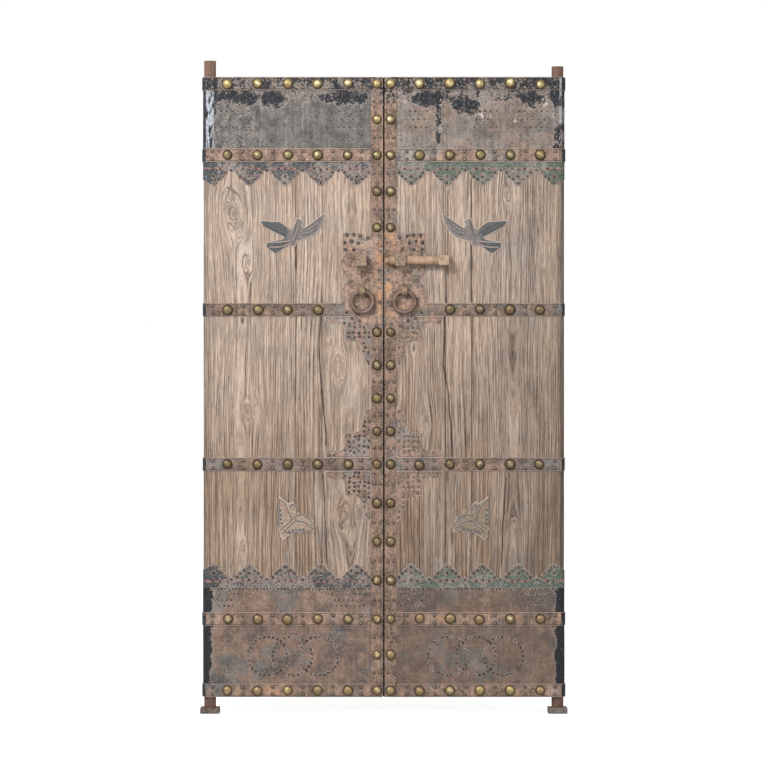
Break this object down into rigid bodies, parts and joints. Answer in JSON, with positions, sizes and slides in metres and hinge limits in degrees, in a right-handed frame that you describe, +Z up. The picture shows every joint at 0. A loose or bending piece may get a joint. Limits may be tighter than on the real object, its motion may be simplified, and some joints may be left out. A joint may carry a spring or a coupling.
{
  "type": "carved temple door",
  "caption": "Pair of weathered plank door leaves on wooden pivots, clad with iron bands, scalloped borders and brass studs, with a cloud-shaped lock plate, slide bolt and ring pulls.",
  "frame": {"origin": "floor level under the pivot cups, in the middle of the meeting line and of the depth", "axes": "+X to the right seen from the front, +Y from the front to the back, +Z up; the studded front faces -Y"},
  "size_m": [1.377, 0.138, 2.4493],
  "materials": {
    "weathered_wood": "weathered, open grain",
    "sheet_iron": "rusty with remains of dark paint",
    "wrought_iron": "rusty, forged",
    "brass": "tarnished, polished on top"
  },
  "bodies": {
    "sill": {"pivot_cups": "wrought_iron"},
    "left_leaf": {"left_pivot_stile": "weathered_wood", "left_plank_inner": "weathered_wood", "left_plank_middle": "weathered_wood", "left_plank_outer": "weathered_wood", "left_batten_1": "weathered_wood", "left_batten_2": "weathered_wood", "left_batten_3": "weathered_wood", "left_batten_4": "weathered_wood", "left_top_sheet": "sheet_iron", "left_kick_sheet": "sheet_iron", "left_top_border": "sheet_iron", "left_bottom_border": "sheet_iron", "left_band_1": "wrought_iron", "left_band_2": "wrought_iron", "left_band_3": "wrought_iron", "left_band_4": "wrought_iron", "left_band_5": "wrought_iron", "left_band_6": "wrought_iron", "left_edge_strap": "wrought_iron", "left_lock_plate": "wrought_iron", "left_corner_plate_upper": "wrought_iron", "left_corner_plate_middle": "wrought_iron", "left_corner_plate_lower": "wrought_iron", "left_bird": "sheet_iron", "left_butterfly": "sheet_iron", "left_bolt_staple": "wrought_iron", "left_ring_staple": "wrought_iron", "left_studs": "brass"},
    "right_leaf": {"right_pivot_stile": "weathered_wood", "right_plank_inner": "weathered_wood", "right_plank_middle": "weathered_wood", "right_plank_outer": "weathered_wood", "right_batten_1": "weathered_wood", "right_batten_2": "weathered_wood", "right_batten_3": "weathered_wood", "right_batten_4": "weathered_wood", "right_top_sheet": "sheet_iron", "right_kick_sheet": "sheet_iron", "right_top_border": "sheet_iron", "right_bottom_border": "sheet_iron", "right_band_1": "wrought_iron", "right_band_2": "wrought_iron", "right_band_3": "wrought_iron", "right_band_4": "wrought_iron", "right_band_5": "wrought_iron", "right_band_6": "wrought_iron", "right_edge_strap": "wrought_iron", "right_lock_plate": "wrought_iron", "right_corner_plate_upper": "wrought_iron", "right_corner_plate_middle": "wrought_iron", "right_corner_plate_lower": "wrought_iron", "right_bird": "sheet_iron", "right_butterfly": "sheet_iron", "right_bolt_staple": "wrought_iron", "right_ring_staple": "wrought_iron", "right_studs": "brass"},
    "slide_bolt": {"slide_bolt": "wrought_iron"},
    "left_pull_ring": {"left_pull_ring": "wrought_iron"},
    "right_pull_ring": {"right_pull_ring": "wrought_iron"}
  },
  "joints": [
    {"name": "left_leaf_swing", "type": "hinge", "parent": "sill", "child": "left_leaf", "pos_m": [-0.6525, 0, 0.0623], "axis": [0, 0, 1], "range_deg": [0, 90]},
    {"name": "right_leaf_swing", "type": "hinge", "parent": "sill", "child": "right_leaf", "pos_m": [0.6525, 0, 0.0623], "axis": [0, 0, -1], "range_deg": [0, 90]},
    {"name": "bolt_slide", "type": "slide", "parent": "right_leaf", "child": "slide_bolt", "axis": [-1, 0, 0], "range_m": [0, 0.123]},
    {"name": "left_ring_swing", "type": "hinge", "parent": "left_leaf", "child": "left_pull_ring", "pos_m": [-0.081, -0.0405, 1.58369], "axis": [-1, 0, 0], "range_deg": [0, 150]},
    {"name": "right_ring_swing", "type": "hinge", "parent": "right_leaf", "child": "right_pull_ring", "pos_m": [0.077, -0.0405, 1.58369], "axis": [-1, 0, 0], "range_deg": [0, 150]}
  ]
}
